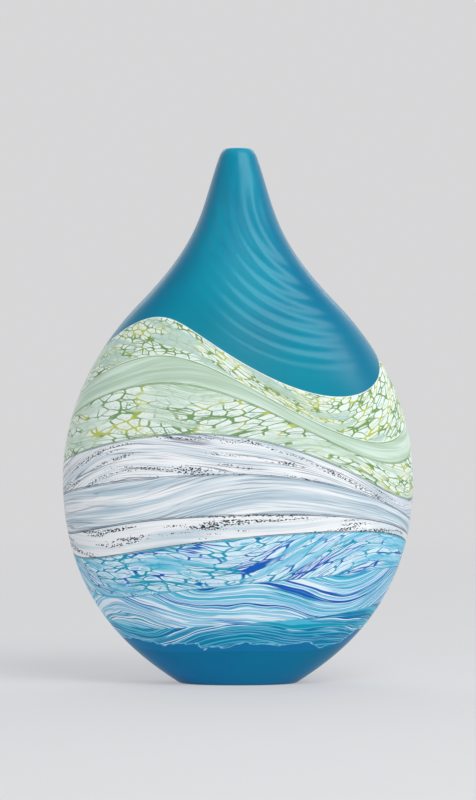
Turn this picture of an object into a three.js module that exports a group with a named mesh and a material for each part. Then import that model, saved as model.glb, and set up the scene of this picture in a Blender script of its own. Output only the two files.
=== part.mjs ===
// A blown studio-glass sculpture: a flattened teardrop flask, 420 mm tall, with a small ground mouth.
// Like the real thing it is cased glass. A clear bubble carries a thin casing, and the casing is made of
// pieces of coloured glass that were laid on hot: a teal collar for the neck and shoulders, nine coloured
// strips that run round the body one under the other, and a teal cup that is ground flat as the foot.
// Units are millimetres, +Z is up, X runs across the wide face, Y through the thickness.
// The origin is the middle of the ground foot.

import * as THREE from 'three';

// Outline of the wide face and of the narrow side.
const flaskHeight = 420;
const footHalfWidth = 46;
const footHalfDepth = 24;
const bellyHalfWidth = 138;
const bellyHalfDepth = 58;
const bellyHeight = 160;
const shoulderHalfWidth = 76;
const shoulderHalfDepth = 40;
const shoulderHeight = 300;
const mouthRadius = 12.4;

// Slopes where the outline's curves meet, in degrees above level.
const footAngle = 33;
const footSideAngle = 52;
const shoulderAngle = 46;
const shoulderSideAngle = 72;
const neckAngle = 69;

// How far each curve holds on to its end slope. A longer pull gives a fuller curve.
const footPull = 35;
const footSidePull = 24;
const bellyPullDown = 100;
const bellyPullUp = 77;
const shoulderPull = 17;
const shoulderSidePull = 36;
const neckPull = 74;
const neckSidePull = 40;
const mouthPull = 48;

// The wide faces were pressed between two boards, so the section is a little squarer than an ellipse.
const pressedFlatness = 0.24;

// Cold working: a rounded bevel at the mouth and a fine arris round the ground foot.
const mouthBevelRun = 2.4;
const mouthBevelRise = 6;
const footArrisRadius = 0.8;

// Glass thicknesses. The casing is drawn thicker towards the mouth, and the floor is thicker than the walls.
const casingWall = 2.2;
const casingMouthWall = 4;
const casingFloor = 6;
const bubbleWall = 4.6;
const bubbleMouthWall = 2.6;
const bubbleFloor = 9;
const bowlRise = 45;

// Clearances that keep neighbouring solids apart where the real glass is fused.
const layerClearance = 0.4;
const seamClearance = 0.3;

// The seam under the teal collar: its mean height, then how far it swings up and down once, twice and three
// times a turn, with the turn of each swing's crest in degrees.
const collarSeamHeight = 252;
const collarSeamTiltHeight = 8;
const collarSeamTiltAngle = 255;
const collarSeamWaveHeight = 27;
const collarSeamWaveAngle = 72;
const collarSeamRippleHeight = 5;
const collarSeamRippleAngle = 20;

// Mean widths of the coloured strips, from top to bottom.
const mossNetWidth = 31;
const sageRibbonWidth = 16;
const leafNetWidth = 29;
const whiteThreadWidth = 22;
const mistRibbonWidth = 24;
const snowRibbonWidth = 15;
const aquaNetWidth = 32;
const cobaltThreadWidth = 29;
const seaThreadWidth = 25;

// How each strip's width swells once, twice and three times a turn, as a share of its mean width with the
// turn of the crest in degrees.
const strips = [
  {
    name: 'moss_net_strip', width: mossNetWidth, colour: 0x9cc084,
    tilt: [0.1, 353], wave: [0.39, 355], ripple: [0.14, 315],
  },
  {
    name: 'sage_ribbon', width: sageRibbonWidth, colour: 0xa9cfb9,
    tilt: [0.19, 297], wave: [0.43, 41], ripple: [0.16, 0],
  },
  {
    name: 'leaf_net_strip', width: leafNetWidth, colour: 0x86ba7c,
    tilt: [0.15, 288], wave: [0.46, 56], ripple: [0.16, 50],
  },
  {
    name: 'white_thread_strip', width: whiteThreadWidth, colour: 0xf0f2f5,
    tilt: [0.15, 255], wave: [0.45, 92], ripple: [0.18, 110],
  },
  {
    name: 'mist_ribbon', width: mistRibbonWidth, colour: 0xb6ccd6,
    tilt: [0.17, 225], wave: [0.37, 110], ripple: [0.2, 170],
  },
  {
    name: 'snow_ribbon', width: snowRibbonWidth, colour: 0xe4e8ee,
    tilt: [0.2, 195], wave: [0.45, 130], ripple: [0.15, 237],
  },
  {
    name: 'aqua_net_strip', width: aquaNetWidth, colour: 0x6ec3cf,
    tilt: [0.13, 137], wave: [0.32, 189], ripple: [0.11, 265],
  },
  {
    name: 'cobalt_thread_strip', width: cobaltThreadWidth, colour: 0x3f74c4,
    tilt: [0.1, 116], wave: [0.28, 230], ripple: [0.09, 331],
  },
  {
    name: 'sea_thread_strip', width: seaThreadWidth, colour: 0x2b8fae,
    tilt: [0.1, 82], wave: [0.25, 276], ripple: [0.08, 350],
  },
];

// How far above and below a height the outline's slant is measured.
const slantReach = 0.5;

// Facets: columns round the axis, and the spacing that rows aim at.
const columns = 48;
const rowSpacing = 13;
const bevelRows = 3;
const footRows = 3;
const bowlRows = 4;
const cavityRows = 14;

const tealGlass = { colour: 0x0082a0, roughness: 0.45 };
const clearGlass = { colour: 0xc9dfe2, roughness: 0.3 };
const stripRoughness = 0.5;

const radians = THREE.MathUtils.degToRad;

// A point `pull` away from a Bezier's end, along a slope given in degrees above level.
function handle(half, height, slope, pull) {
  return new THREE.Vector2(half + pull * Math.cos(radians(slope)), height + pull * Math.sin(radians(slope)));
}

// One side of the outline, as three curves from the foot's edge to the mouth's edge.
function outline(side) {
  const { foot, footSlope, pullAtFoot, belly, shoulder, shoulderSlope, pullAtShoulder, pullAtNeck } = side;
  const footPoint = new THREE.Vector2(foot, 0);
  const bellyPoint = new THREE.Vector2(belly, bellyHeight);
  const shoulderPoint = new THREE.Vector2(shoulder, shoulderHeight);
  const mouthPoint = new THREE.Vector2(mouthRadius, flaskHeight);
  const upTheNeck = 180 - shoulderSlope;
  return [
    new THREE.CubicBezierCurve(
      footPoint,
      handle(foot, 0, footSlope, pullAtFoot),
      handle(belly, bellyHeight, -90, bellyPullDown),
      bellyPoint,
    ),
    new THREE.CubicBezierCurve(
      bellyPoint,
      handle(belly, bellyHeight, 90, bellyPullUp),
      handle(shoulder, shoulderHeight, -shoulderSlope, pullAtShoulder),
      shoulderPoint,
    ),
    new THREE.CubicBezierCurve(
      shoulderPoint,
      handle(shoulder, shoulderHeight, upTheNeck, pullAtNeck),
      handle(mouthRadius, flaskHeight, -neckAngle, mouthPull),
      mouthPoint,
    ),
  ];
}

const wideOutline = outline({
  foot: footHalfWidth,
  footSlope: footAngle,
  pullAtFoot: footPull,
  belly: bellyHalfWidth,
  shoulder: shoulderHalfWidth,
  shoulderSlope: shoulderAngle,
  pullAtShoulder: shoulderPull,
  pullAtNeck: neckPull,
});

const sideOutline = outline({
  foot: footHalfDepth,
  footSlope: footSideAngle,
  pullAtFoot: footSidePull,
  belly: bellyHalfDepth,
  shoulder: shoulderHalfDepth,
  shoulderSlope: shoulderSideAngle,
  pullAtShoulder: shoulderSidePull,
  pullAtNeck: neckSidePull,
});

// Half the outline's width at a height, found by halving the curve that holds the height.
function halfAt(curves, z) {
  const curve = curves.find((piece) => z <= piece.v3.y) ?? curves[curves.length - 1];
  let low = 0;
  let high = 1;
  for (let step = 0; step < 32; step += 1) {
    const middle = (low + high) / 2;
    if (curve.getPoint(middle).y < z) low = middle;
    else high = middle;
  }
  return curve.getPoint((low + high) / 2).x;
}

// How much longer a level cut through a wall is than the wall is thick, where the outline slopes.
function slantAt(curves, z) {
  const below = Math.max(z - slantReach, 0);
  const above = Math.min(z + slantReach, flaskHeight);
  const run = (halfAt(curves, above) - halfAt(curves, below)) / (above - below);
  return Math.hypot(1, run);
}

// A surface inside the glass: how deep it lies under the outside at the belly and at the mouth, and the
// height of its floor.
const outside = { wall: 0, mouthWall: 0, floor: 0 };
const casingInside = { wall: casingWall, mouthWall: casingMouthWall, floor: casingFloor };
const bubbleOutside = {
  wall: casingWall + layerClearance,
  mouthWall: casingMouthWall + layerClearance,
  floor: casingFloor + layerClearance,
};
const bubbleInside = {
  wall: bubbleOutside.wall + bubbleWall,
  mouthWall: bubbleOutside.mouthWall + bubbleMouthWall,
  floor: bubbleOutside.floor + bubbleFloor,
};

function depthAt(surface, z) {
  const drawn = THREE.MathUtils.smoothstep(z, shoulderHeight, flaskHeight);
  return THREE.MathUtils.lerp(surface.wall, surface.mouthWall, drawn);
}

// Cold work on the outside only: a quarter ellipse off the mouth's edge and a small one off the foot's.
function coldWorkAt(z) {
  const intoBevel = Math.max(0, (z - (flaskHeight - mouthBevelRise)) / mouthBevelRise);
  const intoArris = Math.max(0, (footArrisRadius - z) / footArrisRadius);
  const roundedOff = (share) => 1 - Math.sqrt(Math.max(0, 1 - share * share));
  return mouthBevelRun * roundedOff(intoBevel) + footArrisRadius * roundedOff(intoArris);
}

// The surfaces inside close at the bottom as a quarter ellipse that stands on their floor.
function bowlAt(surface, z) {
  if (surface === outside) return 1;
  const below = THREE.MathUtils.clamp((bowlRise - z) / (bowlRise - surface.floor), 0, 1);
  return Math.sqrt(1 - below * below);
}

// The sizes of the level section through a surface, kept because many points share a height.
const sections = new Map();
function sectionAt(surface, z) {
  const key = `${surface.wall} ${surface.floor} ${z.toFixed(4)}`;
  if (!sections.has(key)) {
    const outerWidth = halfAt(wideOutline, z);
    const outerDepth = halfAt(sideOutline, z);
    const inset = depthAt(surface, z);
    const cut = surface === outside ? coldWorkAt(z) : 0;
    const bowl = bowlAt(surface, z);
    sections.set(key, {
      halfWidth: (outerWidth - inset * slantAt(wideOutline, z)) * bowl - cut,
      halfDepth: (outerDepth - inset * slantAt(sideOutline, z)) * bowl - cut,
      squareness: pressedFlatness * Math.max(0, 1 - outerDepth / outerWidth),
    });
  }
  return sections.get(key);
}

// A point of a surface at a turn about the axis and a height. Turn 0 is +X.
function pointOn(surface, turn, z) {
  const { halfWidth, halfDepth, squareness } = sectionAt(surface, z);
  const across = Math.cos(turn);
  return new THREE.Vector3(
    halfWidth * across,
    halfDepth * Math.sin(turn) * (1 + squareness * across * across),
    z,
  );
}

const turns = Array.from({ length: columns }, (_, column) => (2 * Math.PI * column) / columns);

// A ring of points on a surface. A level is a function that gives the height at each turn.
function ringOn(surface, level) {
  return turns.map((turn) => pointOn(surface, turn, level(turn)));
}

const pole = (z) => [new THREE.Vector3(0, 0, z)];
const flatLevel = (z) => () => z;

// Levels between two others, evenly spread, without the two themselves.
function levelsBetween(lower, upper, spaces) {
  return Array.from({ length: spaces - 1 }, (_, index) => {
    const share = (index + 1) / spaces;
    return (turn) => THREE.MathUtils.lerp(lower(turn), upper(turn), share);
  });
}

// A closed solid from rings listed up the outside and down the inside. A ring of one point closes an end,
// and without one the last ring joins the first. Every four-sided patch is split along the same diagonal,
// whichever way its wall faces, so that facing skins have parallel facets.
function solidThrough(rings) {
  const starts = [];
  const positions = [];
  rings.forEach((ring) => {
    starts.push(positions.length / 3);
    ring.forEach((point) => positions.push(point.x, point.y, point.z));
  });
  const faces = [];
  const addFace = (...corners) => {
    if (new Set(corners).size === 3) faces.push(...corners);
  };
  const joinRings = (from, to) => {
    const at = (ring, place) => starts[ring] + (rings[ring].length === 1 ? 0 : place);
    const rise = rings[to][0].z - rings[from][0].z;
    const spread = rings[to][0].x - rings[from][0].x;
    const climbing = rise > 0 || (rise === 0 && spread > 0);
    for (let column = 0; column < columns; column += 1) {
      const next = (column + 1) % columns;
      const [a, b, c, d] = [at(from, column), at(from, next), at(to, next), at(to, column)];
      addFace(a, b, climbing ? c : d);
      addFace(climbing ? a : b, c, d);
    }
  };
  for (let ring = 0; ring + 1 < rings.length; ring += 1) joinRings(ring, ring + 1);
  if (rings[0].length > 1) joinRings(rings.length - 1, 0);
  const geometry = new THREE.BufferGeometry();
  geometry.setAttribute('position', new THREE.Float32BufferAttribute(positions, 3));
  geometry.setIndex(faces);
  geometry.computeVertexNormals();
  return geometry;
}

// Seams between the pieces of casing, from the collar's down to the foot's, each a level.
const swing = (size, crest, times, turn) => size * Math.cos(times * turn - radians(crest));
const collarSeam = (turn) => collarSeamHeight
  + swing(collarSeamTiltHeight, collarSeamTiltAngle, 1, turn)
  + swing(collarSeamWaveHeight, collarSeamWaveAngle, 2, turn)
  + swing(collarSeamRippleHeight, collarSeamRippleAngle, 3, turn);

function widthOf(strip, turn) {
  const swell = [strip.tilt, strip.wave, strip.ripple]
    .map(([share, crest], index) => swing(share, crest, index + 1, turn))
    .reduce((sum, part) => sum + part, 1);
  return strip.width * swell;
}

const seams = [collarSeam];
strips.forEach((strip, index) => {
  seams.push((turn) => seams[index](turn) - widthOf(strip, turn));
});
const footSeam = seams[seams.length - 1];

const raised = (level, lift) => (turn) => level(turn) + lift;

// A strip of casing between two seams, clear of its neighbours by half the seam's clearance each side.
function stripSolid(upperSeam, lowerSeam, width) {
  const top = raised(upperSeam, -seamClearance / 2);
  const bottom = raised(lowerSeam, seamClearance / 2);
  const rows = [bottom, ...levelsBetween(bottom, top, Math.max(1, Math.round(width / rowSpacing))), top];
  return solidThrough([
    ...rows.map((level) => ringOn(outside, level)),
    ...rows.reverse().map((level) => ringOn(casingInside, level)),
  ]);
}

// The collar: neck and shoulders in one piece, from its wavy seam to the ground mouth.
const bevelStart = flaskHeight - mouthBevelRise;
const collarSpaces = Math.round((bevelStart - collarSeamHeight) / rowSpacing);
const collarLevels = levelsBetween(collarSeam, flatLevel(bevelStart), collarSpaces);
const bevelLevels = Array.from({ length: bevelRows }, (_, index) => {
  const share = Math.sin(((index + 1) / bevelRows) * (Math.PI / 2));
  return flatLevel(bevelStart + mouthBevelRise * share);
});

function collarSolid() {
  const bottom = raised(collarSeam, seamClearance / 2);
  const walls = [bottom, ...collarLevels, flatLevel(bevelStart)];
  return solidThrough([
    ...[...walls, ...bevelLevels].map((level) => ringOn(outside, level)),
    ...[...walls, flatLevel(flaskHeight)].reverse().map((level) => ringOn(casingInside, level)),
  ]);
}

// Levels inside the foot, closer together near the floor, where the bowl turns level.
function bowlLevels(surface) {
  return Array.from({ length: bowlRows }, (_, index) => {
    const share = ((index + 1) / (bowlRows + 1)) ** 2;
    return (turn) => THREE.MathUtils.lerp(surface.floor, footSeam(turn), share);
  });
}

// The foot: a thick cup under the bubble, with a flat ground face to stand on.
function footSolid() {
  const top = raised(footSeam, -seamClearance / 2);
  const overArris = flatLevel(footArrisRadius);
  const outer = [flatLevel(0), overArris, ...levelsBetween(overArris, top, footRows), top];
  return solidThrough([
    pole(0),
    ...outer.map((level) => ringOn(outside, level)),
    ...[...bowlLevels(casingInside), top].reverse().map((level) => ringOn(casingInside, level)),
    pole(casingInside.floor),
  ]);
}

// The bubble: its outside follows the casing row by row, so the two skins stay parallel, and its cavity
// runs from the floor to the open mouth.
function bubbleSolid() {
  const underStrips = strips.toReversed().flatMap((strip, index) => {
    const place = strips.length - index;
    const spaces = Math.max(1, Math.round(strip.width / rowSpacing));
    return [seams[place], ...levelsBetween(seams[place], seams[place - 1], spaces)];
  });
  const outer = [
    ...bowlLevels(bubbleOutside),
    ...underStrips,
    collarSeam,
    ...collarLevels,
    flatLevel(bevelStart),
    flatLevel(flaskHeight),
  ];
  const floor = bubbleInside.floor;
  const cavity = Array.from({ length: cavityRows }, (_, index) => {
    const share = ((index + 1) / cavityRows) ** 1.5;
    return flatLevel(THREE.MathUtils.lerp(floor, flaskHeight, share));
  });
  return solidThrough([
    pole(bubbleOutside.floor),
    ...outer.map((level) => ringOn(bubbleOutside, level)),
    ...cavity.reverse().map((level) => ringOn(bubbleInside, level)),
    pole(floor),
  ]);
}

function glassPiece(name, geometry, colour, roughness) {
  const material = new THREE.MeshStandardMaterial({ color: colour, roughness, metalness: 0 });
  const mesh = new THREE.Mesh(geometry, material);
  mesh.name = name;
  return mesh;
}

const flask = new THREE.Group();
flask.add(glassPiece('clear_bubble', bubbleSolid(), clearGlass.colour, clearGlass.roughness));
flask.add(glassPiece('teal_collar', collarSolid(), tealGlass.colour, tealGlass.roughness));
strips.forEach((strip, index) => {
  const solid = stripSolid(seams[index], seams[index + 1], strip.width);
  flask.add(glassPiece(strip.name, solid, strip.colour, stripRoughness));
});
flask.add(glassPiece('teal_foot', footSolid(), tealGlass.colour, tealGlass.roughness));

export default flask;
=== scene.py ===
"""A blown studio-glass sculpture: a flattened teardrop flask in satin cased glass.

Every glass surface is one formula of the turn about the axis and the height above the foot. The collar,
the strips and the foot are cut from it along wavy seams, and the colours are drawn in each strip's own
flow: how far along the strip, and how far across.
"""

import math

import bpy
import mathutils
import numpy as np
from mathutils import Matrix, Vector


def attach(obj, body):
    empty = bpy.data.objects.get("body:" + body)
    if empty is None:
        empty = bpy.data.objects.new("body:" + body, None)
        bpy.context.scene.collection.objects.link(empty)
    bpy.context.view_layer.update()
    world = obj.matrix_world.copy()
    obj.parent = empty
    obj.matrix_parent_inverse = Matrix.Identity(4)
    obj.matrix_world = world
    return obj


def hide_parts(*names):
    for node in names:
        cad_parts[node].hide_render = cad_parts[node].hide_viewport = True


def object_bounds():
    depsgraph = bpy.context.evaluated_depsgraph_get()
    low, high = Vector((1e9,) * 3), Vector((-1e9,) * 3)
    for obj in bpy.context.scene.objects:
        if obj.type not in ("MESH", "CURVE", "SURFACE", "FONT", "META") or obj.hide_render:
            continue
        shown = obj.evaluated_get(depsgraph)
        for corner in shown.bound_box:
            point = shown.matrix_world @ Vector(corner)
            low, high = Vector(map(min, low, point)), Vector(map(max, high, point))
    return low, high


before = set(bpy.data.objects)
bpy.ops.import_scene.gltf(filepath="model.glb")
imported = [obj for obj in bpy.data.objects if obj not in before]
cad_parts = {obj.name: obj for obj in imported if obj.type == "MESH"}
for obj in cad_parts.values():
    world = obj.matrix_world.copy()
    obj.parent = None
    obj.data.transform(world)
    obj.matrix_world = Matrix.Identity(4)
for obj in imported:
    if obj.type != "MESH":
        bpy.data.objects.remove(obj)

CAD_BOX = [list(corner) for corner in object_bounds()]
MM = 0.001

# Outline of the wide face and of the narrow side, in millimetres. The largest sizes come from the solids.
# A rise or a fall is a slope in degrees. A pull, and the belly's down and up, are how far a curve is
# pulled that way.
FLASK_HEIGHT = CAD_BOX[1][2] / MM
BELLY_HALF_WIDTH = CAD_BOX[1][0] / MM
BELLY_HALF_DEPTH = CAD_BOX[1][1] / MM
BELLY_HEIGHT = 160
SHOULDER_HEIGHT = 300
MOUTH_RADIUS = 12.4
WIDE_SIDE = {
    "foot": 46, "foot_rise": 33, "foot_pull": 35,
    "belly": BELLY_HALF_WIDTH, "belly_down": 100, "belly_up": 77,
    "shoulder": 76, "shoulder_fall": 46, "shoulder_pull": 17, "neck_pull": 74,
}
NARROW_SIDE = {
    "foot": 24, "foot_rise": 52, "foot_pull": 24,
    "belly": BELLY_HALF_DEPTH, "belly_down": 100, "belly_up": 77,
    "shoulder": 40, "shoulder_fall": 72, "shoulder_pull": 36, "neck_pull": 40,
}
NECK_FALL = 69
MOUTH_PULL = 48
PRESSED_FLATNESS = 0.24
MOUTH_BEVEL_RUN = 2.4
MOUTH_BEVEL_RISE = 6
FOOT_ARRIS = 0.8
BOWL_RISE = 45

# Surfaces under the outside: how deep at the belly, how deep at the mouth, and the height of the floor.
OUTSIDE = (0, 0, 0)
CASING_INSIDE = (2.2, 4, 6)
BUBBLE_OUTSIDE = (2.6, 4.4, 6.4)
BUBBLE_INSIDE = (7.2, 7.0, 15.4)

# The seam under the collar: a height, then swings of one, two and three waves a turn as size and crest.
COLLAR_SEAM_HEIGHT = 252
COLLAR_SEAM_SWINGS = [(8, 255), (27, 72), (5, 20)]

# The strips from top to bottom: width, then how it swells once, twice and three times a turn, as shares
# with the turn of the crest. The drift is how the drawing leans inside the strip: a size and a crest.
STRIPS = [
    {"name": "moss_net_strip", "width": 31,
     "swells": [(0.1, 353), (0.39, 355), (0.14, 315)], "drift": (16, 200)},
    {"name": "sage_ribbon", "width": 16,
     "swells": [(0.19, 297), (0.43, 41), (0.16, 0)], "drift": (3, 20)},
    {"name": "leaf_net_strip", "width": 29,
     "swells": [(0.15, 288), (0.46, 56), (0.16, 50)], "drift": (20, 120)},
    {"name": "white_thread_strip", "width": 22,
     "swells": [(0.15, 255), (0.45, 92), (0.18, 110)], "drift": (9, 300)},
    {"name": "mist_ribbon", "width": 24,
     "swells": [(0.17, 225), (0.37, 110), (0.2, 170)], "drift": (8, 60)},
    {"name": "snow_ribbon", "width": 15,
     "swells": [(0.2, 195), (0.45, 130), (0.15, 237)], "drift": (5, 180)},
    {"name": "aqua_net_strip", "width": 32,
     "swells": [(0.13, 137), (0.32, 189), (0.11, 265)], "drift": (20, 150)},
    {"name": "cobalt_thread_strip", "width": 29,
     "swells": [(0.1, 116), (0.28, 230), (0.09, 331)], "drift": (15, 260)},
    {"name": "sea_thread_strip", "width": 25,
     "swells": [(0.1, 82), (0.25, 276), (0.08, 350)], "drift": (9, 30)},
]
DRIFT_RIPPLE = 0.3

# Optic ribs in the collar. Seen from the wide side they are even arcs about a point beside the neck, given
# as a distance from the axis and a height. They run out on the narrow sides, at the seam, low down and up
# the neck, and are fainter on one side of the axis.
RIB_CENTRE = (73.5, 384)
RIB_PITCH = 9.7
RIB_CREST = 91.2
RIB_DEPTH = 0.6
RIB_SIDE_FADE = (0.35, 0.95)
RIB_SEAM_FADE = 22
RIB_FAINT = 0.3
RIB_FAINT_REACH = (-30, 10)
RIB_TOP_FADE = (374, 408)
RIB_LOW_FADE = (236, 262)

# Grid sizes: columns round the axis and rows along the height. A pole gap is how near the rings come to
# the point that closes them, before they are spread.
COLUMNS = 384
COLLAR_ROWS = 200
COLLAR_INSIDE_ROWS = 16
STRIP_ROWS = 26
STRIP_INSIDE_ROWS = 4
FOOT_ROWS = 24
FOOT_POLE_GAP = 0.05
BUBBLE_ROWS = 40
BUBBLE_POLE_GAP = 0.06
BUBBLE_ROW_SPREAD = 1.6
BEVEL_ROWS = 10
ARRIS_ROWS = 5
OUTLINE_STEPS = 600
SLOPE_STEP = 0.5
SHARP_EDGE = math.radians(35)

TURNS = np.linspace(0, 2 * math.pi, COLUMNS, endpoint=False)


def from_srgb(red, green, blue):
    """A colour written as sRGB 0 to 255, as the linear colour that a shader takes."""
    shares = np.array([red, green, blue]) / 255
    linear = np.where(shares <= 0.04045, shares / 12.92, ((shares + 0.055) / 1.055) ** 2.4)
    return (*linear.tolist(), 1.0)


# Shape of the flask


def cubic(corners):
    """The points of a curve from the first corner to the last, pulled towards the two between them: the
    corners weighted by (1 - t)³, 3t (1 - t)², 3t² (1 - t) and t³."""
    t = np.linspace(0, 1, OUTLINE_STEPS)[:, None]
    shares = np.hstack([(1 - t) ** 3, 3 * t * (1 - t) ** 2, 3 * t**2 * (1 - t), t**3])
    return shares @ np.array(corners, float)


def handle(half, height, slope, pull):
    """A point that lies `pull` away from (half, height), along a slope in degrees above level."""
    angle = math.radians(slope)
    return (half + pull * math.cos(angle), height + pull * math.sin(angle))


def outline(side):
    """One side of the outline, foot to mouth: three cubic curves that share their end slopes."""
    foot = (side["foot"], 0)
    belly = (side["belly"], BELLY_HEIGHT)
    shoulder = (side["shoulder"], SHOULDER_HEIGHT)
    mouth = (MOUTH_RADIUS, FLASK_HEIGHT)
    under_belly = handle(*foot, side["foot_rise"], side["foot_pull"])
    over_shoulder = handle(*shoulder, 180 - side["shoulder_fall"], side["neck_pull"])
    return np.vstack([
        cubic([foot, under_belly, handle(*belly, -90, side["belly_down"]), belly]),
        cubic([
            belly,
            handle(*belly, 90, side["belly_up"]),
            handle(*shoulder, -side["shoulder_fall"], side["shoulder_pull"]),
            shoulder,
        ]),
        cubic([shoulder, over_shoulder, handle(*mouth, -NECK_FALL, MOUTH_PULL), mouth]),
    ])


WIDE_OUTLINE = outline(WIDE_SIDE)
NARROW_OUTLINE = outline(NARROW_SIDE)


def half_at(curve, z):
    """Half the size of the flask at a height, read from one side of its outline."""
    return np.interp(z, curve[:, 1], curve[:, 0])


def slant_at(curve, z):
    """How much longer a level cut through a wall is than the wall is thick: √(1 + slope²)."""
    below = np.clip(z - SLOPE_STEP, 0, FLASK_HEIGHT)
    above = np.clip(z + SLOPE_STEP, 0, FLASK_HEIGHT)
    slope = (half_at(curve, above) - half_at(curve, below)) / (above - below)
    return np.hypot(1, slope)


def smooth(value, low, high):
    """0 below `low`, 1 above `high`, and 3t² - 2t³ between them."""
    t = np.clip((value - low) / (high - low), 0, 1)
    return t * t * (3 - 2 * t)


def cold_work_at(z):
    """How far grinding takes the outside in: a quarter ellipse at the mouth and a small one at the foot."""
    into_bevel = np.clip((z - (FLASK_HEIGHT - MOUTH_BEVEL_RISE)) / MOUTH_BEVEL_RISE, 0, 1)
    into_arris = np.clip((FOOT_ARRIS - z) / FOOT_ARRIS, 0, 1)
    mouth = MOUTH_BEVEL_RUN * (1 - np.sqrt(1 - into_bevel**2))
    return mouth + FOOT_ARRIS * (1 - np.sqrt(1 - into_arris**2))


def skin(layer, turn, z):
    """Points of a surface. x = a cos(turn), y = b sin(turn) (1 + k cos²(turn)), where a and b are the
    outline's half sizes less the layer's depth, closed as a quarter ellipse towards the layer's floor."""
    wall, mouth_wall, floor = layer
    depth = wall + (mouth_wall - wall) * smooth(z, SHOULDER_HEIGHT, FLASK_HEIGHT)
    wide = half_at(WIDE_OUTLINE, z)
    narrow = half_at(NARROW_OUTLINE, z)
    bowl = 1.0
    cut = cold_work_at(z)
    if layer is not OUTSIDE:
        below = np.clip((BOWL_RISE - z) / (BOWL_RISE - floor), 0, 1)
        bowl = np.sqrt(1 - below**2)
        cut = 0.0
    half_width = (wide - depth * slant_at(WIDE_OUTLINE, z)) * bowl - cut
    half_depth = (narrow - depth * slant_at(NARROW_OUTLINE, z)) * bowl - cut
    squareness = PRESSED_FLATNESS * np.maximum(0, 1 - narrow / wide)
    across = np.cos(turn)
    x = half_width * across
    y = half_depth * np.sin(turn) * (1 + squareness * across**2)
    return np.stack(np.broadcast_arrays(x, y, z), axis=-1)


def outward(turn, z):
    """Unit normals of the outside: the cross product of the surface's runs round the axis and upward."""
    turn_step = 1e-3
    z_step = 0.05
    along = skin(OUTSIDE, turn + turn_step, z) - skin(OUTSIDE, turn - turn_step, z)
    up = skin(OUTSIDE, turn, z + z_step) - skin(OUTSIDE, turn, z - z_step)
    normal = np.cross(along, up)
    return normal / np.linalg.norm(normal, axis=-1, keepdims=True)


def swings(terms, turn):
    """The sum of size × cos(n turn - crest), for n = 1, 2, 3 ..."""
    return sum(
        size * np.cos((order + 1) * turn - math.radians(crest))
        for order, (size, crest) in enumerate(terms)
    )


def seam_heights(turn):
    """The height of every seam at the given turns: the collar's, less the width of each strip in turn."""
    heights = [COLLAR_SEAM_HEIGHT + swings(COLLAR_SEAM_SWINGS, turn)]
    for strip in STRIPS:
        heights.append(heights[-1] - strip["width"] * (1 + swings(strip["swells"], turn)))
    return heights


SEAMS = seam_heights(TURNS)


def rows_between(lower, upper, shares):
    """Heights on a grid: each row is lower + share × (upper - lower), at every turn."""
    lower = np.broadcast_to(lower, TURNS.shape)
    upper = np.broadcast_to(upper, TURNS.shape)
    return lower[None, :] + np.asarray(shares)[:, None] * (upper - lower)[None, :]


# Meshes


def glass_mesh(name, rings, marks=None, low_pole=None, high_pole=None):
    """A closed solid through rings that run up the outside and down the inside. A pole is a point in
    millimetres that closes an end, and without poles the last ring joins the first. `marks` are vector
    attributes, one row for each point of the rings."""
    count = len(rings)
    points = rings.reshape(-1, 3)
    start = np.arange(count - 1 if low_pole is not None else count)[:, None] * COLUMNS
    beyond = (start + COLUMNS) % (count * COLUMNS)
    column = np.arange(COLUMNS)[None, :]
    beside = (column + 1) % COLUMNS
    quads = np.stack([start + column, start + beside, beyond + beside, beyond + column], axis=-1)
    faces = quads.reshape(-1, 4).tolist()
    if low_pole is not None:
        low_place = len(points)
        last = (count - 1) * COLUMNS
        points = np.vstack([points, low_pole, high_pole])
        pairs = list(zip(column[0].tolist(), beside[0].tolist()))
        faces += [[low_place, far, near] for near, far in pairs]
        faces += [[last + near, last + far, low_place + 1] for near, far in pairs]
    mesh = bpy.data.meshes.new(name)
    mesh.from_pydata((points * MM).tolist(), [], faces)
    mesh.polygons.foreach_set("use_smooth", [True] * len(mesh.polygons))
    for key, values in (marks or {}).items():
        attribute = mesh.attributes.new(key, "FLOAT_VECTOR", "POINT")
        attribute.data.foreach_set("vector", values.reshape(-1).astype(np.float32))
    mesh.update()
    mesh.set_sharp_from_angle(angle=SHARP_EDGE)
    piece = bpy.data.objects.new(name, mesh)
    bpy.context.collection.objects.link(piece)
    return piece


def dress(piece, node, material):
    """Hands a finished piece over: its material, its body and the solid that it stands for."""
    piece.data.materials.append(material)
    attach(piece, "root")
    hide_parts(node)


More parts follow.
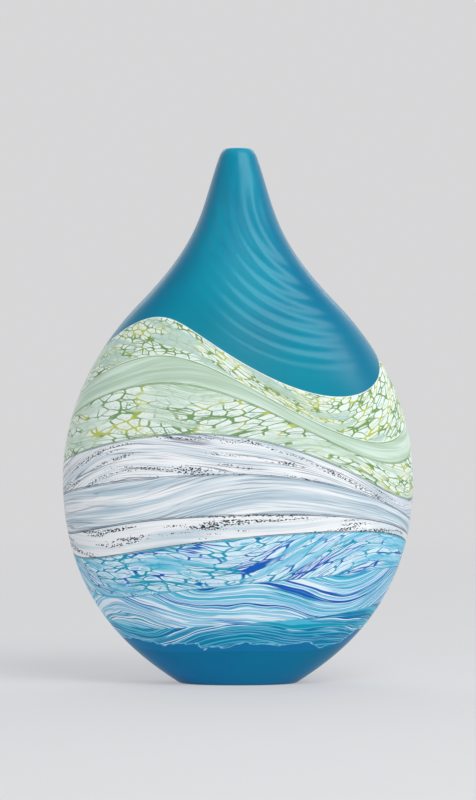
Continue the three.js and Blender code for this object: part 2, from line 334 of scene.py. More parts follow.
def collar_piece():
    """The neck and shoulders, with ribs moved in along the normal. A rib's valley is depth × s² deep,
    where s is the sine of half the phase 2π (r - crest) / pitch and r the distance from the ribs' point,
    so the ribs are even waves. The back is the front, turned by half a turn. The marks of a point are the
    share of a crest, the millimetres above the seam, and how far it is on a narrow side."""
    bevel_start = FLASK_HEIGHT - MOUTH_BEVEL_RISE
    wall = rows_between(SEAMS[0], bevel_start, np.linspace(0, 1, COLLAR_ROWS))
    bevel = bevel_start + MOUTH_BEVEL_RISE * np.sin(np.linspace(0, math.pi / 2, BEVEL_ROWS + 1)[1:])
    outside = np.vstack([wall, rows_between(0, 1, np.zeros(BEVEL_ROWS)) + bevel[:, None]])
    inside = rows_between(FLASK_HEIGHT, SEAMS[0], np.linspace(0, 1, COLLAR_INSIDE_ROWS))
    turn = TURNS[None, :]
    surface = skin(OUTSIDE, turn, outside)
    centre = np.where(np.sin(turn) < 0, RIB_CENTRE[0], -RIB_CENTRE[0])
    distance = np.hypot(surface[..., 0] - centre, outside - RIB_CENTRE[1])
    valley = abs(np.sin(math.pi * (distance - RIB_CREST) / RIB_PITCH)) ** 2
    fade = smooth(outside - SEAMS[0], 0, RIB_SEAM_FADE) * (1 - smooth(outside, *RIB_TOP_FADE))
    fade = fade * smooth(abs(np.sin(turn)), *RIB_SIDE_FADE) * smooth(outside, *RIB_LOW_FADE)
    beside = surface[..., 0] * np.sign(centre)
    fade = fade * (RIB_FAINT + (1 - RIB_FAINT) * smooth(beside, *RIB_FAINT_REACH))
    ribbed = surface - (RIB_DEPTH * valley * fade)[..., None] * outward(turn, outside)
    rings = np.vstack([ribbed, skin(CASING_INSIDE, turn, inside)])
    crests = np.vstack([(1 - valley) * fade, np.zeros_like(inside)])
    above_seam = np.vstack([outside - SEAMS[0], inside - SEAMS[0]])
    narrow_side = np.cos(turn) ** 2 + np.zeros_like(crests)
    marks = np.stack([crests, above_seam, narrow_side], axis=-1)
    return glass_mesh("collar", rings, {"ribs": marks})


def strip_flow(strip, share, width):
    """Where a point lies in its strip's drawing: a place on the belly's ellipse and a height across the
    strip, which grows with the square root of the strip's width there and is leaned by the drift, a wave
    of two and a ripple of five to a turn. All close on themselves, so the drawing has no join."""
    turn = TURNS[None, :]
    mean = strip["width"]
    size, crest = strip["drift"]
    wave = np.cos(2 * turn - math.radians(crest))
    ripple = np.cos(5 * turn - math.radians(2 * crest))
    height = share * mean * (width / mean) ** 0.5 + (size * wave + DRIFT_RIPPLE * size * ripple)
    along = BELLY_HALF_WIDTH * np.cos(turn)
    through = 2 * BELLY_HALF_DEPTH * np.sin(turn)
    return np.stack(np.broadcast_arrays(along, through, height), axis=-1)


def strip_piece(index, strip):
    """A strip of casing between two seams, with its flow and its margins as marks. A margin is the
    distance in millimetres from the lower seam, from the upper seam, and the share of the way up."""
    lower = SEAMS[index + 1]
    upper = SEAMS[index]
    width = (upper - lower)[None, :]
    shares = np.concatenate([np.linspace(0, 1, STRIP_ROWS), np.linspace(1, 0, STRIP_INSIDE_ROWS)])
    heights = rows_between(lower, upper, shares)
    turn = TURNS[None, :]
    outside = skin(OUTSIDE, turn, heights[:STRIP_ROWS])
    inside = skin(CASING_INSIDE, turn, heights[STRIP_ROWS:])
    share = shares[:, None] + 0 * turn
    margins = np.stack([share * width, (1 - share) * width, share], axis=-1)
    marks = {"flow": strip_flow(strip, share, width), "margins": margins}
    return glass_mesh(strip["name"].replace("_strip", "") + "_skin", np.vstack([outside, inside]), marks)


def foot_piece():
    """The cup under the bubble: flat ground face, arris, outside wall, seam face and bowl."""
    seam = SEAMS[-1]
    arris = FOOT_ARRIS * (1 - np.cos(np.linspace(0, math.pi / 2, ARRIS_ROWS)))
    ground = rows_between(0, 1, np.zeros(len(arris))) + arris[:, None]
    wall = rows_between(FOOT_ARRIS, seam, np.linspace(0, 1, FOOT_ROWS)[1:])
    floor = CASING_INSIDE[2]
    bowl = rows_between(seam, floor, 1 - np.linspace(1, FOOT_POLE_GAP, FOOT_ROWS) ** 2)
    turn = TURNS[None, :]
    rings = np.vstack([skin(OUTSIDE, turn, np.vstack([ground, wall])), skin(CASING_INSIDE, turn, bowl)])
    return glass_mesh("foot_cup", rings, None, (0, 0, 0), (0, 0, floor))


def bubble_piece():
    """The clear bubble: its outside from the floor to the mouth, then the cavity back down."""
    turn = TURNS[None, :]
    spread = np.linspace(BUBBLE_POLE_GAP, 1, BUBBLE_ROWS) ** BUBBLE_ROW_SPREAD
    outside = rows_between(BUBBLE_OUTSIDE[2], FLASK_HEIGHT, spread)
    inside = rows_between(BUBBLE_INSIDE[2], FLASK_HEIGHT, spread[::-1])
    rings = np.vstack([skin(BUBBLE_OUTSIDE, turn, outside), skin(BUBBLE_INSIDE, turn, inside)])
    return glass_mesh("bubble", rings, None, (0, 0, BUBBLE_OUTSIDE[2]), (0, 0, BUBBLE_INSIDE[2]))


# Shader maths


class Reading:
    """A number, colour or vector that varies over the glass. Arithmetic on numbers adds Math nodes."""

    def __init__(self, recipe, socket):
        self.recipe = recipe
        self.socket = socket

    def _math(self, operation, left, right):
        return self.recipe.node("ShaderNodeMath", {"operation": operation}, {0: left, 1: right})

    def __add__(self, other):
        return self._math("ADD", self, other)

    def __radd__(self, other):
        return self._math("ADD", other, self)

    def __sub__(self, other):
        return self._math("SUBTRACT", self, other)

    def __rsub__(self, other):
        return self._math("SUBTRACT", other, self)

    def __mul__(self, other):
        return self._math("MULTIPLY", self, other)

    def __rmul__(self, other):
        return self._math("MULTIPLY", other, self)

    def __truediv__(self, other):
        return self._math("DIVIDE", self, other)

    def __abs__(self):
        return self._math("ABSOLUTE", self, 0)


def socket_named(sockets, key):
    """A node's socket by its number, its identifier or its name."""
    if isinstance(key, int):
        return sockets[key]
    return next(socket for socket in sockets if key in (socket.identifier, socket.name))


class Recipe:
    """The node tree of one kind of glass."""

    def __init__(self, name):
        self.material = bpy.data.materials.new(name)
        self.material.use_nodes = True
        self.tree = self.material.node_tree
        self.tree.nodes.clear()

    def node(self, kind, settings=None, sockets=None, output=0):
        """Adds a node: its settings first, a ramp's stops among them, then the values or links of its
        sockets. Returns the output asked for."""
        node = self.tree.nodes.new(kind)
        for key, value in (settings or {}).items():
            if key == "stops":
                self.set_stops(node.color_ramp, value)
            else:
                setattr(node, key, value)
        for key, value in (sockets or {}).items():
            socket = socket_named(node.inputs, key)
            if isinstance(value, Reading):
                self.tree.links.new(value.socket, socket)
            else:
                socket.default_value = value
        return Reading(self, socket_named(node.outputs, output)) if node.outputs else None

    def set_stops(self, ramp, stops):
        while len(ramp.elements) < len(stops):
            ramp.elements.new(1)
        for element, (place, colour) in zip(ramp.elements, stops):
            element.position = place
            element.color = colour

    def place(self):
        """Where a point lies, in metres."""
        return self.node("ShaderNodeTexCoord", None, None, "Object")

    def clouds(self, scale):
        """Noise all through the glass, finer as the scale grows."""
        sockets = {"Vector": self.place(), "Scale": scale, "Detail": 2.0}
        return self.node("ShaderNodeTexNoise", None, sockets)

    def mark(self, name):
        """What the piece's mesh says of a point, under a name."""
        return self.node("ShaderNodeAttribute", {"attribute_name": name}, None, "Vector")

    def part(self, vector, axis):
        return self.node("ShaderNodeSeparateXYZ", None, {0: vector}, axis)

    def scaled(self, vector, factors, offset):
        sockets = {0: vector, 1: factors, 2: offset}
        return self.node("ShaderNodeVectorMath", {"operation": "MULTIPLY_ADD"}, sockets)

    def mix(self, share, first, second):
        sockets = {"Factor_Float": share, "A_Color": first, "B_Color": second}
        return self.node("ShaderNodeMix", {"data_type": "RGBA"}, sockets, "Result_Color")

    def rise(self, value, low, high):
        """0 below `low`, 1 above `high`, smooth between. With `low` above `high` it falls instead."""
        sockets = {"Value": value, "From Min": low, "From Max": high}
        return self.node("ShaderNodeMapRange", {"interpolation_type": "SMOOTHSTEP"}, sockets)

    def least(self, first, second):
        return self.node("ShaderNodeMath", {"operation": "MINIMUM"}, {0: first, 1: second})

    def ramp(self, value, stops, interpolation="LINEAR"):
        node = self.node("ShaderNodeValToRGB", {"stops": stops}, {0: value})
        node.socket.node.color_ramp.interpolation = interpolation
        return node

    def drawn(self, flow, length, pitch, seed):
        """The flow measured in cells that are `length` long and `pitch` high, moved on by a seed, by unlike
        steps along the three axes."""
        return self.scaled(flow, (1 / length, 1 / length, 1 / pitch), (seed, seed * 0.7, seed * 1.3))

    def streaks(self, flow, length, pitch, seed, detail=2.0, output=0):
        """Noise that is drawn out along the strip."""
        sockets = {"Vector": self.drawn(flow, length, pitch, seed), "Scale": 1.0, "Detail": detail}
        return self.node("ShaderNodeTexNoise", None, sockets, output)

    def wander(self, flow, length, pitch, reach, seed):
        """The flow moved about by a noise: reach × (noise - 0.5) along each axis."""
        noise = self.streaks(flow, length, pitch, seed, output="Color")
        centred = self.scaled(noise, reach, tuple(-0.5 * size for size in reach))
        return self.node("ShaderNodeVectorMath", {"operation": "ADD"}, {0: flow, 1: centred})

    def cells(self, flow, length, pitch, rounding, seed):
        """Distance in millimetres from the nearest wall of a net of irregular cells, 0 on the wall, less a
        share of the distance from the cell's middle, which rounds its corners."""
        sockets = {"Vector": self.drawn(flow, length, pitch, seed), "Scale": 1.0, "Randomness": 1.0}
        wall = self.node("ShaderNodeTexVoronoi", {"feature": "DISTANCE_TO_EDGE"}, sockets)
        middle = self.node("ShaderNodeTexVoronoi", {"feature": "F1"}, sockets)
        return (wall - self.rise(middle, low=0.35, high=0.9) * rounding) * pitch

    def spots(self, flow, length, pitch, seed):
        """Distance from the middle of the nearest of many scattered grains."""
        sockets = {"Vector": self.drawn(flow, length, pitch, seed), "Scale": 1.0, "Randomness": 1.0}
        return self.node("ShaderNodeTexVoronoi", {"feature": "F1"}, sockets)

    def line(self, value, middle, half, soft):
        """1 where the value is within `half` of `middle`, falling to 0 over `soft`."""
        return self.rise(abs(value - middle), half + soft, half)


# Colours of the glass, as sRGB

TEAL = from_srgb(0, 130, 155)
DEEP_TEAL = from_srgb(0, 105, 141)
SEA_TEAL = from_srgb(0, 130, 150)
BRIGHT_TEAL = from_srgb(0, 143, 169)
# A paler teal, laid on as painted highlight on the rib crests and as painted light at the lip.
PALE_LIT_TEAL = from_srgb(70, 168, 188)
FOOT_TEAL = from_srgb(0, 119, 172)
MOSS = from_srgb(114, 150, 80)
FERN = from_srgb(112, 150, 92)
OLIVE = from_srgb(182, 192, 90)
SAGE = from_srgb(186, 209, 190)
PALE_SAGE = from_srgb(212, 229, 216)
DEEP_SAGE = from_srgb(168, 193, 170)
MINT_WHITE = from_srgb(230, 240, 235)
MINT_GREY = from_srgb(178, 204, 197)
MILK = from_srgb(240, 242, 243)
MIST = from_srgb(158, 184, 198)
PALE_MIST = from_srgb(196, 211, 220)
SLATE = from_srgb(112, 130, 148)
GRAPHITE = from_srgb(46, 62, 92)
INK = from_srgb(34, 40, 54)
PALE_AQUA = from_srgb(148, 208, 232)
AQUA = from_srgb(78, 186, 214)
SEA = from_srgb(0, 156, 186)
DEEP_SEA = from_srgb(0, 122, 170)
COBALT = from_srgb(0, 92, 182)
ICE = from_srgb(228, 242, 250)
CLEAR_GLASS = from_srgb(110, 180, 196)
CLEAR_CORD = from_srgb(150, 204, 214)

# The gloss on teal glass takes a little of its colour.
TEAL_GLOSS = (0.75, 0.98, 1.0, 1.0)


# Kinds of glass

SATIN_ROUGHNESS = 0.32
SATIN_GLOSS = 0.2
NO_TINT = (1.0, 1.0, 1.0, 1.0)
GLASS_IOR = 1.5
GRAIN_SCALE = 2600.0
GRAIN_DEPTH = 0.00008
GRAIN_STRENGTH = 0.25
GLOSS_CLOUD_SCALE = 22.0
ROUGHNESS_SWING = 0.12
MARGIN_THREAD_STRENGTH = 0.85
SPECK_SIZE = 0.42
THREADS_BELOW = 40.0


def satin(recipe, colour, roughness=SATIN_ROUGHNESS, gloss=SATIN_GLOSS, tint=NO_TINT):
    """Etched glass: a wide soft gloss that varies a little, and a fine grain."""
    grain = {"Strength": GRAIN_STRENGTH, "Distance": GRAIN_DEPTH, "Height": recipe.clouds(GRAIN_SCALE)}
    sockets = {
        "Base Color": colour,
        "Roughness": (recipe.clouds(GLOSS_CLOUD_SCALE) - 0.5) * ROUGHNESS_SWING + roughness,
        "IOR": GLASS_IOR,
        "Specular IOR Level": gloss,
        "Specular Tint": tint,
        "Normal": recipe.node("ShaderNodeBump", None, grain),
    }
    shader = recipe.node("ShaderNodeBsdfPrincipled", None, sockets)
    recipe.node("ShaderNodeOutputMaterial", None, {"Surface": shader})
    return recipe.material


def edge_threads(recipe, colour, thread_colour, inset, half):
    """A thin thread laid along both seams of a strip, which swells and thins along its way."""
    margins = recipe.mark("margins")
    swell = recipe.streaks(recipe.mark("flow"), length=30, pitch=30, seed=5.0) * 2.0
    for axis in ("X", "Y"):
        distance = recipe.part(margins, axis)
        thread = recipe.line(distance, inset, swell * half, soft=0.2)
        colour = recipe.mix(thread * MARGIN_THREAD_STRENGTH, colour, thread_colour)
    return colour


def hairlines(recipe, flow, colour, hair_colour, pitch, seed, strength=0.75):
    """Hair-thin lines that follow the flow, in drifts: one in every pitch of the height, to which a
    drawn-out noise is added."""
    bend = recipe.streaks(flow, length=90, pitch=9, seed=seed, detail=1.0) * 5.0
    turns = recipe.part(flow, "Z") / pitch + bend
    inside = recipe.node("ShaderNodeMath", {"operation": "FRACT"}, {0: turns})
    drift = recipe.rise(recipe.streaks(flow, length=70, pitch=5, seed=seed + 1), 0.42, 0.62)
    hair = recipe.line(inside, middle=0.5, half=0.07, soft=0.13)
    return recipe.mix(hair * drift * strength, colour, hair_colour)


def speckled(recipe, colour, seed, amount):
    """Dark grains in drifts: small drawn-out spots, kept only where a wide noise is high."""
    flow = recipe.wander(recipe.mark("flow"), length=3, pitch=1.5, reach=(1.2, 1.2, 0.7), seed=seed)
    spot = recipe.spots(flow, length=2.1, pitch=0.8, seed=seed)
    drift = recipe.streaks(flow, length=60, pitch=4, seed=seed + 2)
    kept = recipe.rise(drift, 0.5, 0.62) * amount
    grains = recipe.rise(spot - kept * SPECK_SIZE, 0.06, 0.0)
    return recipe.mix(grains * recipe.rise(drift, 0.5, 0.54), colour, INK)


def net_glass(name, seed, veins, cells, ground, length, pitch, rounding, least_half, swelling):
    """A net of veins round pale cells. A fine net and long threads lie over the large net in patches, and
    taper away outside them. Each vein swells and thins along its way, and takes a second colour where it
    is widest. Here and there the net gives way to bare streaks. `length` and `pitch` are a cell's length
    and height, `rounding` is how round its corners are, and `least_half` and `swelling` are the least
    half width of a vein and what a swelling adds, in millimetres across the strip."""
    recipe = Recipe(name)
    flow = recipe.wander(recipe.mark("flow"), length=46, pitch=14, reach=(13, 13, 6), seed=seed)
    flow = recipe.wander(flow, length=12, pitch=6, reach=(2.2, 2.2, 1.4), seed=seed + 3)
    swell = recipe.streaks(flow, length=22, pitch=8, seed=seed + 11)
    half = least_half + recipe.rise(swell, 0.52, 0.8) * swelling
    large = recipe.cells(flow, length, pitch, rounding, seed) - half
    patch = recipe.streaks(flow, length=60, pitch=11, seed=seed + 8)
    fine_half = recipe.rise(patch, 0.48, 0.62) * 0.25 - 0.3
    fine = recipe.cells(flow, length * 0.5, pitch * 0.55, rounding * 0.6, seed + 5) - fine_half
    comb = recipe.streaks(flow, length=90, pitch=9, seed=seed + 9)
    long_half = recipe.rise(comb, 0.48, 0.62) * 0.33 - 0.3
    long_threads = recipe.cells(flow, length * 4, pitch * 0.5, 0.0, seed + 6) - long_half
    distance = recipe.least(large, recipe.least(fine, long_threads))
    vein = recipe.rise(distance, 0.22, 0.0)
    rim = recipe.rise(distance, pitch * 0.19, pitch * 0.07)
    hue = recipe.streaks(flow, length=80, pitch=14, seed=seed + 14)
    bright = recipe.rise(swell + (hue - 0.5) * 0.7, 0.5, 0.62)
    vein_colour = recipe.mix(bright, veins[0], veins[1])
    shade = recipe.streaks(flow, length=30, pitch=2.6, seed=seed + 17, detail=3.0)
    cell_colour = recipe.mix(recipe.rise(shade, 0.4, 0.6), cells[1], cells[2])
    cell_colour = recipe.mix(rim * 0.9, cell_colour, cells[0])
    colour = recipe.mix(vein, cell_colour, vein_colour)
    bare = recipe.rise(recipe.streaks(flow, length=90, pitch=9, seed=seed + 23), 0.51, 0.58)
    bare_colour = recipe.mix(recipe.rise(shade, 0.35, 0.6), ground, cells[1])
    bare_colour = hairlines(recipe, flow, bare_colour, veins[0], pitch=1.7, seed=seed + 20, strength=0.6)
    return recipe, recipe.mix(bare * 0.85, colour, bare_colour)


def ribbon_glass(name, seed, shades, thread_colour, strength):
    """A smooth ribbon: wide soft streaks in close shades, with fainter fine ones over them."""
    recipe = Recipe(name)
    flow = recipe.wander(recipe.mark("flow"), length=60, pitch=20, reach=(6, 6, 3), seed=seed)
    wide = recipe.streaks(flow, length=120, pitch=8, seed=seed)
    fine = recipe.streaks(flow, length=90, pitch=1.6, seed=seed + 4)
    finest = recipe.streaks(flow, length=50, pitch=0.8, seed=seed + 6, detail=1.0)
    colour = recipe.ramp(wide, [(0.34, shades[0]), (0.5, shades[1]), (0.64, shades[2])])
    colour = recipe.mix(recipe.rise(fine, 0.5, 0.66) * strength, colour, shades[2])
    colour = recipe.mix(recipe.rise(fine, 0.46, 0.32) * strength, colour, shades[0])
    colour = recipe.mix(recipe.rise(finest, 0.5, 0.7) * strength * 0.6, colour, shades[0])
    return recipe, edge_threads(recipe, colour, thread_colour, inset=0.5, half=0.25)


def thread_glass(name, seed, palette, pitch, wave, ground, hair_colour):
    """Combed threads: the strip is cut across into threads of one pitch, each takes a colour of its own by
    its number, and finer threads run over them in some zones. `wave` is how far the combing swings."""
    recipe = Recipe(name)
    flow = recipe.wander(recipe.mark("flow"), length=90, pitch=26, reach=(10, 10, wave), seed=seed)
    flow = recipe.wander(flow, length=40, pitch=10, reach=(2, 2, wave * 0.16), seed=seed + 2)
    across = recipe.part(flow, "Z")
    zone = recipe.rise(recipe.streaks(flow, length=80, pitch=9, seed=seed + 9), 0.46, 0.54)
    colour = ground
    for step, (size, shown) in enumerate([(pitch, 1.0), (pitch / 2.4, zone)]):
        turns = across / size + THREADS_BELOW
        number = recipe.node("ShaderNodeMath", {"operation": "FLOOR"}, {0: turns})
        draw = {"W": number + 7.0 * step + seed}
        chance = recipe.node("ShaderNodeTexWhiteNoise", {"noise_dimensions": "1D"}, draw)
        picked = recipe.ramp(chance, palette, "CONSTANT")
        half = 0.2 + 0.28 * recipe.streaks(flow, length=60, pitch=5, seed=seed + 4 + step)
        thread = recipe.line(turns - number, middle=0.5, half=half, soft=0.06)
        colour = recipe.mix(thread * shown, colour, picked)
    return recipe, hairlines(recipe, flow, colour, hair_colour, pitch=1.9, seed=seed + 12)


def collar_glass():
    """Teal glass: clouded and greener towards the seam. The narrow sides are darkened as painted shade, the
    crests of the ribs are a little paler, partly in the glass and partly as a painted highlight, and a band
    below the mouth is paler as painted light on the lip."""
    recipe = Recipe("teal_collar_glass")
    marks = recipe.mark("ribs")
    crest = recipe.part(marks, "X")
    above_seam = recipe.part(marks, "Y")
    narrow_side = recipe.part(marks, "Z")
    body = recipe.mix(recipe.rise(recipe.clouds(11.0), 0.36, 0.64), DEEP_TEAL, BRIGHT_TEAL)
    body = recipe.mix(0.45, body, TEAL)
    body = recipe.mix(recipe.rise(above_seam, 70, 0) * 0.7, body, SEA_TEAL)
    # Painted shade: the narrow sides, where the light falls off, are darkened towards deep teal.
    body = recipe.mix(recipe.rise(narrow_side, 0.15, 0.8) * 0.75, body, DEEP_TEAL)
    # Paler on the rib crests: partly the glass's own tone, partly a painted highlight along the arcs.
    body = recipe.mix(recipe.rise(crest, 0.0, 1.0) * 0.05, body, PALE_LIT_TEAL)
    # Painted light: the top 8 mm below the mouth, where the lip faces up to the lamps, made paler.
    height = recipe.part(recipe.place(), "Z")
    lip_light = recipe.rise(height, (FLASK_HEIGHT - 8) * MM, (FLASK_HEIGHT - 1) * MM)
    body = recipe.mix(lip_light * 0.2, body, PALE_LIT_TEAL)
    return satin(recipe, body, roughness=0.29, gloss=0.27, tint=TEAL_GLOSS)


def moss_net_glass():
    recipe, colour = net_glass(
        "moss_net_glass", 1.0, (MOSS, OLIVE), (MINT_WHITE, MINT_GREY, PALE_SAGE), SAGE,
        length=11.5, pitch=3.5, rounding=0.05, least_half=0.08, swelling=0.15,
    )
    return satin(recipe, edge_threads(recipe, colour, MINT_WHITE, inset=0.35, half=0.22))


def sage_glass():
    recipe, colour = ribbon_glass("sage_glass", 2.0, (DEEP_SAGE, SAGE, PALE_SAGE), MOSS, strength=0.6)
    return satin(recipe, hairlines(recipe, recipe.mark("flow"), colour, DEEP_SAGE, pitch=1.9, seed=8.0))


def leaf_net_glass():
    recipe, colour = net_glass(
        "leaf_net_glass", 31.0, (FERN, OLIVE), (MINT_WHITE, PALE_SAGE, MINT_GREY), SAGE,
        length=14, pitch=4.0, rounding=0.05, least_half=0.08, swelling=0.15,
    )
    return satin(recipe, edge_threads(recipe, colour, FERN, inset=0.4, half=0.2))


def white_thread_glass():
    recipe, colour = ribbon_glass("white_thread_glass", 40.0, (PALE_MIST, MILK, MILK), SLATE, strength=0.7)
    flow = recipe.mark("flow")
    colour = hairlines(recipe, flow, colour, GRAPHITE, pitch=2.7, seed=45.0, strength=0.65)
    colour = hairlines(recipe, flow, colour, SLATE, pitch=1.4, seed=47.0, strength=0.6)
    return satin(recipe, speckled(recipe, colour, seed=43.0, amount=1.0))


def mist_glass():
    recipe, colour = ribbon_glass("mist_glass", 50.0, (MIST, PALE_MIST, MILK), SLATE, strength=0.6)
    flow = recipe.mark("flow")
    colour = hairlines(recipe, flow, colour, GRAPHITE, pitch=2.5, seed=55.0, strength=0.45)
    return satin(recipe, hairlines(recipe, flow, colour, MILK, pitch=2.1, seed=57.0))


def snow_glass():
    recipe, colour = ribbon_glass("snow_glass", 60.0, (PALE_MIST, MILK, MILK), INK, strength=0.4)
    return satin(recipe, speckled(recipe, colour, seed=63.0, amount=1.2))


def aqua_net_glass():
    recipe, colour = net_glass(
        "aqua_net_glass", 70.0, (SEA, COBALT), (ICE, PALE_AQUA, AQUA), AQUA,
        length=20, pitch=3.5, rounding=0.03, least_half=0.04, swelling=0.17,
    )
    return satin(recipe, edge_threads(recipe, colour, SEA, inset=0.4, half=0.25))


def cobalt_thread_glass():
    palette = [(0.0, PALE_AQUA), (0.3, ICE), (0.44, AQUA), (0.68, COBALT), (0.74, PALE_AQUA), (0.88, SEA)]
    recipe, colour = thread_glass("cobalt_thread_glass", 80.0, palette, 2.6, 16, ICE, COBALT)
    return satin(recipe, colour)


def sea_thread_glass():
    """Combed teal threads. The lowest run out into solid teal behind a pale ragged fringe, which lies
    where the height above the lower seam, less a wavy and a ragged noise, is the fringe's."""
    palette = [(0.0, DEEP_SEA), (0.3, SEA), (0.5, AQUA), (0.66, DEEP_SEA), (0.8, COBALT), (0.88, ICE)]
    recipe, colour = thread_glass("sea_thread_glass", 90.0, palette, 2.3, 10, AQUA, PALE_AQUA)
    flow = recipe.mark("flow")
    waves = recipe.streaks(flow, length=55, pitch=30, seed=97.0) * 30.0
    rags = recipe.streaks(flow, length=16, pitch=1.4, seed=98.0) * 5.0
    height = recipe.part(recipe.mark("margins"), "X") - (waves + rags)
    fringe = -11.0
    colour = recipe.mix(recipe.line(height, fringe, half=0.2, soft=0.7) * 0.8, colour, PALE_AQUA)
    return satin(recipe, recipe.mix(recipe.rise(height, fringe, fringe - 0.5), colour, FOOT_TEAL))


def foot_glass():
    """Solid teal that deepens upwards from the ground, with a faint cloud in it."""
    recipe = Recipe("teal_foot_glass")
    height = recipe.part(recipe.place(), "Z")
    body = recipe.mix(recipe.rise(height, 0.0, 0.05), FOOT_TEAL, DEEP_TEAL)
    body = recipe.mix(recipe.rise(recipe.clouds(18.0), 0.35, 0.7) * 0.3, body, TEAL)
    return satin(recipe, body, roughness=0.3, gloss=0.2, tint=TEAL_GLOSS)


def bubble_glass():
    """Clear glass under the casing, seen at the mouth: pale, with faint cords in it."""
    recipe = Recipe("clear_bubble_glass")
    cords = recipe.rise(recipe.clouds(60.0), 0.3, 0.7)
    return satin(recipe, recipe.mix(cords, CLEAR_GLASS, CLEAR_CORD), roughness=0.3, gloss=0.5)


STRIP_GLASS = {
    "moss_net_strip": moss_net_glass,
    "sage_ribbon": sage_glass,
    "leaf_net_strip": leaf_net_glass,
    "white_thread_strip": white_thread_glass,
    "mist_ribbon": mist_glass,
    "snow_ribbon": snow_glass,
    "aqua_net_strip": aqua_net_glass,
    "cobalt_thread_strip": cobalt_thread_glass,
    "sea_thread_strip": sea_thread_glass,
}


def build_glass():
    dress(bubble_piece(), "clear_bubble", bubble_glass())
    dress(collar_piece(), "teal_collar", collar_glass())
    for index, strip in enumerate(STRIPS):
        name = strip["name"]
        dress(strip_piece(index, strip), name, STRIP_GLASS[name]())
    dress(foot_piece(), "teal_foot", foot_glass())


# Studio, in metres and watts

CAMERA_DISTANCE = 2.2
CAMERA_HEIGHT = 0.2223
FRAME_HEIGHT = 0.6298
SENSOR_SIZE = 36.0
VIEW_REACH = 50
LAMP_AIM = mathutils.Vector((0, 0, 0.22))
LAMPS = [
    {"name": "key", "place": (1.06, -1.26, 1.75), "size": (2.1, 1.1), "power": 38, "roll": -30},
    {"name": "side", "place": (2.2, -0.5, 0.6), "size": (1.4, 1.0), "power": 5},
    {"name": "front", "place": (-0.3, -2.6, 0.9), "size": (1.4, 1.0), "power": 10},
    {"name": "fill", "place": (-1.7, -1.3, 0.7), "size": (1.2, 1.2), "power": 5},
    {"name": "back_right", "place": (1.8, 1.8, 1.1), "size": (2.4, 2.0), "power": 7},
    {"name": "back_left", "place": (-1.8, 1.8, 1.1), "size": (2.4, 2.0), "power": 7},
    {"name": "back_top", "place": (0, 1.8, 2.0), "size": (3.0, 2.0), "power": 22},
]
WORLD_COLOUR = (0.9, 0.94, 1.0, 1.0)
WORLD_STRENGTH = 0.4
DISH_MIDDLE = 0.05
DISH_STEP = 1.0
DISH_FLAT = 3.5
DISH_CURVE = 2.5
DISH_WALL = 3.0
DISH_CURVE_ROWS = 24
DISH_COLUMNS = 96
SHADE_REACH = (0.5, 2.4)
LEAST_GLOW = 0.5
PALE = (0.68, 0.68, 0.69, 1.0)
PALE_ROUGHNESS = 0.9


def camera():
    """A level camera on the object's middle height, whose long side takes in the photographed height."""
    data = bpy.data.cameras.new("camera")
    data.sensor_width = SENSOR_SIZE
    data.lens = SENSOR_SIZE * CAMERA_DISTANCE / FRAME_HEIGHT
    data.clip_end = VIEW_REACH
    view = bpy.data.objects.new("camera", data)
    view.location = (0, -CAMERA_DISTANCE, CAMERA_HEIGHT)
    view.rotation_euler = (math.pi / 2, 0, 0)
    bpy.context.collection.objects.link(view)
    bpy.context.scene.camera = view


def soft_lamp(name, place, size, power, roll=0):
    """A flat lamp that faces the middle of the object, rolled about that line by so many degrees."""
    data = bpy.data.lights.new(name, "AREA")
    data.shape = "RECTANGLE"
    data.size, data.size_y = size
    data.energy = power
    lamp = bpy.data.objects.new(name, data)
    lamp.location = place
    facing = (LAMP_AIM - mathutils.Vector(place)).to_track_quat("-Z", "Y")
    lamp.rotation_euler = (facing @ mathutils.Quaternion((0, 0, 1), math.radians(roll))).to_euler()
    bpy.context.collection.objects.link(lamp)


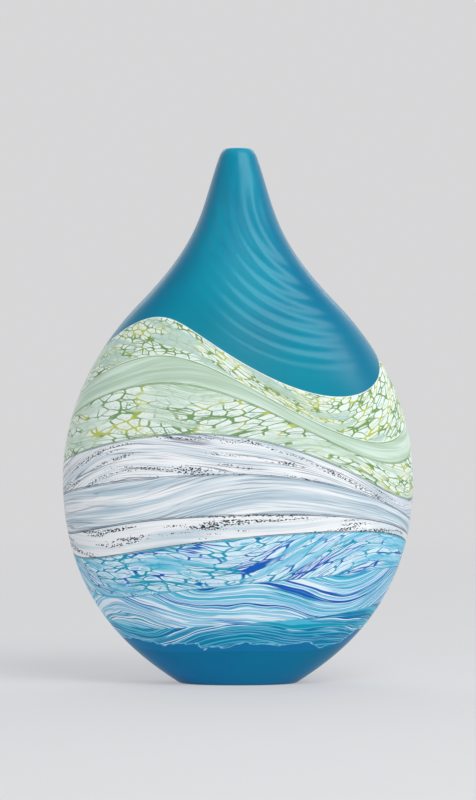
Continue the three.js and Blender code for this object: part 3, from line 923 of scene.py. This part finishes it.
def backdrop():
    """A pale round floor that curves up into a wall all round, so that it lies behind the object from any
    side: flat, then a quarter circle, then upright, turned about the middle."""
    angle = np.linspace(0, math.pi / 2, DISH_CURVE_ROWS)
    curve = np.stack([DISH_FLAT + DISH_CURVE * np.sin(angle), DISH_CURVE * (1 - np.cos(angle))], axis=-1)
    top = [DISH_FLAT + DISH_CURVE, DISH_CURVE + DISH_WALL]
    profile = np.vstack([[DISH_MIDDLE, 0], [DISH_STEP, 0], curve, top])
    turn = np.linspace(0, 2 * math.pi, DISH_COLUMNS, endpoint=False)
    radius, height = profile[:, :1], profile[:, 1:]
    points = np.stack(np.broadcast_arrays(radius * np.cos(turn), radius * np.sin(turn), height), axis=-1)
    start = np.arange(len(profile) - 1)[:, None] * DISH_COLUMNS
    column = np.arange(DISH_COLUMNS)[None, :]
    beside = (column + 1) % DISH_COLUMNS
    corners = [start + beside, start + column, start + DISH_COLUMNS + column, start + DISH_COLUMNS + beside]
    faces = np.stack(corners, axis=-1).reshape(-1, 4).tolist()
    faces.append(list(range(DISH_COLUMNS)))
    mesh = bpy.data.meshes.new("backdrop")
    mesh.from_pydata(points.reshape(-1, 3).tolist(), [], faces)
    mesh.polygons.foreach_set("use_smooth", [True] * len(faces))
    mesh.materials.append(backdrop_paint())
    stage = bpy.data.objects.new("backdrop", mesh)
    bpy.context.collection.objects.link(stage)


def backdrop_paint():
    """Matt and pale. Seen straight, in gloss or through glass it glows at its own colour, part of it near
    the object, where the shadow has to stay, and all of it far off, so that no edge shows."""
    recipe = Recipe("pale_backdrop")
    distance = recipe.node("ShaderNodeVectorMath", {"operation": "LENGTH"}, {0: recipe.place()}, "Value")
    share = LEAST_GLOW + recipe.rise(distance, *SHADE_REACH) * (1 - LEAST_GLOW)
    rays = ("Is Camera Ray", "Is Glossy Ray", "Is Transmission Ray")
    straight, gloss, through = [recipe.node("ShaderNodeLightPath", None, None, ray) for ray in rays]
    share = (straight + gloss + through) * share
    matte = recipe.node("ShaderNodeBsdfPrincipled", None, {"Base Color": PALE, "Roughness": PALE_ROUGHNESS})
    glow = recipe.node("ShaderNodeEmission", None, {"Color": PALE, "Strength": 1.0})
    shader = recipe.node("ShaderNodeMixShader", None, {0: share, 1: matte, 2: glow})
    recipe.node("ShaderNodeOutputMaterial", None, {"Surface": shader})
    return recipe.material


def studio():
    scene = bpy.context.scene
    scene.view_settings.view_transform = "Standard"
    world = bpy.data.worlds.new("studio")
    world.use_nodes = True
    background = world.node_tree.nodes["Background"]
    background.inputs["Color"].default_value = WORLD_COLOUR
    background.inputs["Strength"].default_value = WORLD_STRENGTH
    scene.world = world
    for lamp in LAMPS:
        soft_lamp(**lamp)
    backdrop()
    camera()


build_glass()
studio()
